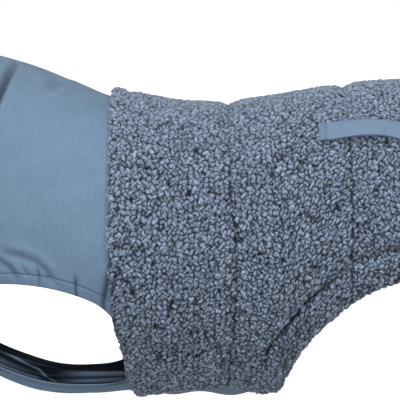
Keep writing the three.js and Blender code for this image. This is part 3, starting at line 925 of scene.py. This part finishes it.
def saddle_offset(u, a, rise, from_line):
    """Thickness in mm: puffed up between the seams and pressed by the hem's and the roll's stitching."""
    from_seam = from_nearest_seam(u, a)
    puffed = mix(FLEECE_SEAM, FLEECE_OUTER, 1 - np.exp(-from_seam / PUFF))
    tail = TAIL_X - TAIL_ROUND * (np.abs(a) / HEM[-1, 1]) ** 3
    from_line = np.minimum(from_line, np.abs(tail - u - TAIL_STITCH))
    from_front = u - saddle_front(np.minimum(np.abs(a), CORNER))
    stitched = puffed - 1.7 * np.exp(-((from_line / 4) ** 2))
    stitched -= 1.2 * np.exp(-(((from_front - FRONT_STITCH) / 3.5) ** 2))
    stitched -= 3.6 * stroke(u, a, HEM_CREASE, 1.8) + 2.0 * stroke(u, a, HEM_CREASE_REAR, 1.7)
    left = np.where(a > 0, 1.0, 0.6)
    stitched -= left * (2.4 * stroke(u, a, PINCH_FRONT, 3.0) + 1.8 * stroke(u, a, PINCH_REAR, 2.4))
    return mix(FLEECE_INNER, np.maximum(stitched, LEAST_THICK), rise)


def grid_normals(grid):
    normal = np.cross(np.gradient(grid, axis=0), np.gradient(grid, axis=1))
    return normal / np.maximum(np.linalg.norm(normal, axis=-1, keepdims=True), 1e-9)


def fleece_finish():
    """Pile: pads painted paler towards their crowns as a painted highlight, on a tone that varies a little
    from curl to curl, with painted shade dark in the thin gaps between the curls, in the finer gaps on them
    and along the seams and creases.
    """
    finish = Finish("teddy_fleece", 0.8, sheen=0.3)
    place = finish.attribute("cloth", "Vector")
    fibres = finish.noise(place, (1.5, 1.5, 1), 3)
    patches = finish.noise(place, (0.03, 0.03, 1), 2)
    gap = finish.attribute("gap", "Fac")
    # Painted shade: the share of the pad colour against the near-black colour painted into the gaps between
    # the curls.
    gaps = (gap + (fibres - 0.5) * 0.2).between(0.04, 0.31)
    small_gaps = (finish.attribute("small_gap", "Fac") + (fibres - 0.5) * 0.3).between(-0.05, 0.45)
    shade = finish.attribute("shade", "Fac") * 0.2 + (fibres - 0.5) * 0.9 + (patches - 0.5) * 0.1 + 0.3
    # Painted highlight: each pad is painted paler towards its crown, and darker in its small gaps as painted
    # shade, varied by the curl's own tone and by the fibres.
    pale = (small_gaps * shade + small_gaps * gap * 0.55).between(0, 1)
    pad = finish.blend(pale, linear(70, 86, 107), linear(200, 220, 250))
    # Painted shade along the quilted seams and the hem's creases: it darkens the pile there towards the gap
    # colour.
    sewn = 1 - finish.attribute("sewn", "Fac")
    finish.feed("Base Color", finish.blend(gaps * sewn, linear(11, 15, 23), pad))
    finish.bump(fibres * 0.6 + small_gaps * 0.4, 0.0006, 0.5)
    return finish.material


fleece = fleece_finish()


def saddle_channel(channel, name, rows_half, columns):
    """One quilted channel of the saddle, from a grid of that many columns and rows on each side."""
    u, a, rise, from_line, along, around = saddle_grid(channel, rows_half, columns, under=False)
    base = lifted(u, a, saddle_offset(u, a, rise, from_line))
    height, gap, small_gap, shade = pile(along, around)
    # Painted light and shade: the dark gaps are drawn narrower along the spine and wider low on the flanks,
    # so the pile is painted lighter on top and darker towards the bottom.
    gap = gap * (1 + 0.15 * (1 - ramp(15, 50, np.abs(a))) - 0.13 * ramp(85, 120, np.abs(a)))
    from_seam = from_nearest_seam(u, a)
    keep = ramp(0.0, 0.3, rise) * mix(0.8, 1, ramp(0, 4, from_seam))
    broken = 0.8 + 0.2 * np.sin(around * 0.6 + 2 * np.sin(around * 0.17))
    broken = broken * mix(0.35, 1, ramp(25, 60, np.abs(a)))
    # Painted shade in the quilted seams' valleys and along the hem's creases, broken along each seam, weaker
    # towards the spine and deeper in the gaps between curls.
    sewn = broken * np.exp(-((from_seam / 1.0) ** 2)) + stroke(u, a, HEM_CREASE, 1.3)
    sewn += 0.7 * stroke(u, a, HEM_CREASE_REAR, 1.2) + 0.8 * stroke(u, a, HEM_CREASE[4:], 1.2)
    sewn = np.clip(sewn * (1.1 - 0.3 * gap), 0, 1)
    normal = grid_normals(base)
    if normal[:, normal.shape[1] // 2, 2].mean() < 0:
        normal = -normal
    outer = base + normal * (height * keep)[..., None]
    under_u, under_a = saddle_grid(channel, rows_half, columns, under=True)[:2]
    inner = lifted(under_u, under_a, FLEECE_INNER)[::RATIO, ::RATIO]
    piece = closed_piece(name, outer, inner, RATIO)
    cloth_places(piece, along, around, RATIO, gap=gap, small_gap=small_gap, shade=shade, sewn=sewn)
    flat_area = area_of(base)
    length = np.linalg.norm(np.diff(base, axis=0), axis=-1).sum(axis=0).mean() * MM
    finish_piece(piece, "saddle", (fleece, lining), "teddy_fleece", length, flat_area / length, flat_area)


saddle_channel(0, "fleece_front", 340 - ROLL_STEPS, 136 - ROLL_STEPS)
saddle_channel(1, "fleece_middle", 304 - ROLL_STEPS, 148)
saddle_channel(2, "fleece_rear", 236 - ROLL_STEPS, 128)
saddle_channel(3, "fleece_tail", 220 - ROLL_STEPS, 116 - ROLL_STEPS)

# The strap: a flat tape of the same cloth on the left flank, turned under
# and stitched at both ends, and free of the fleece between them.
STRAP = np.array([(138.5, 37.5), (149, 38.3), (160, 38.8), (170, 39.4), (181, 40.3), (194, 42.3), (211, 45)])
STRAP_WIDTH = 15.6
STRAP_MM_PER_DEGREE = 1.83  # out on the fleece
STRAP_THICK = 1.6
STRAP_LIFT = 3.0
STRAP_TURN = 6.0  # of cloth turned under at each end
STRAP_STITCH = 4.4  # from the end to the stitching
STRAP_CUT = (0.0156, 0.0776)  # width and length that show, in metres
STRAP_GRID = (193, 41)


def strap_places(columns, rows, height):
    """Points of the strap's face at that height, with their ring, way across and way from its ends."""
    t = np.linspace(0, 1, columns)[:, None]
    across = np.linspace(-0.5, 0.5, rows)[None, :] * STRAP_WIDTH
    u = mix(STRAP[0, 0], STRAP[-1, 0], t) + 0 * across
    a = smooth(STRAP[:, 0], STRAP[:, 1], u) + across / STRAP_MM_PER_DEGREE
    lift = STRAP_LIFT * np.sin(np.pi * t) ** 1.5 * (0.55 + across / STRAP_WIDTH)
    from_end = np.minimum(u - STRAP[0, 0], STRAP[-1, 0] - u)
    turned = 0.7 * (1 - ramp(STRAP_TURN - 0.5, STRAP_TURN + 0.6, from_end)) * (height > 0)
    stitched = 0.5 * np.exp(-(((from_end - STRAP_STITCH) / 0.6) ** 2)) * (height > 0)
    return lifted(u, a, FLEECE_OUTER + 0.3 + lift + height + turned - stitched), u, across + 0 * u, from_end


tape = woven_finish("tape", linear(132, 158, 187), linear(117, 142, 171))
strap_outer, strap_u, strap_across, strap_end = strap_places(*STRAP_GRID, STRAP_THICK)
strap_inner = strap_places(*STRAP_GRID, 0)[0][::RATIO, ::RATIO]
strap = closed_piece("strap_tape", strap_outer, strap_inner, RATIO)
thread = 0.5 + 0.5 * np.sin(strap_across * 3.2)
shade = 0.45 * thread * np.exp(-(((strap_end - STRAP_STITCH) / 0.45) ** 2)) + 0.12 * (strap_end < STRAP_TURN)
shade += 0.3 * np.exp(-(((STRAP_WIDTH / 2 - np.abs(strap_across)) / 0.5) ** 2))
cloth_places(strap, strap_u, strap_across, RATIO, shade=np.clip(shade, 0, 1))
finish_piece(strap, "back_strap", (tape, tape), "strap_tape", *STRAP_CUT, area_of(strap_outer))

# The ground: a plain white floor, which lets no light back up on the coat.
floor_mesh = bpy.data.meshes.new("floor")
far = 3.0
floor_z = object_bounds()[0][2]
floor_corners = [(x, y, floor_z) for x, y in ((-far, -far), (far, -far), (far, far), (-far, far))]
floor_mesh.from_pydata(floor_corners, [], [(0, 1, 2, 3)])
floor = bpy.data.objects.new("floor", floor_mesh)
bpy.context.collection.objects.link(floor)
paper = Finish("paper", 0.9)
paper.shader.inputs["Base Color"].default_value = (0.9, 0.9, 0.9, 1)
paper.shader.inputs["Emission Color"].default_value = (1, 1, 1, 1)
paper.shader.inputs["Emission Strength"].default_value = 1.0
floor_mesh.materials.append(paper.material)
floor.visible_diffuse = False
floor.visible_glossy = False
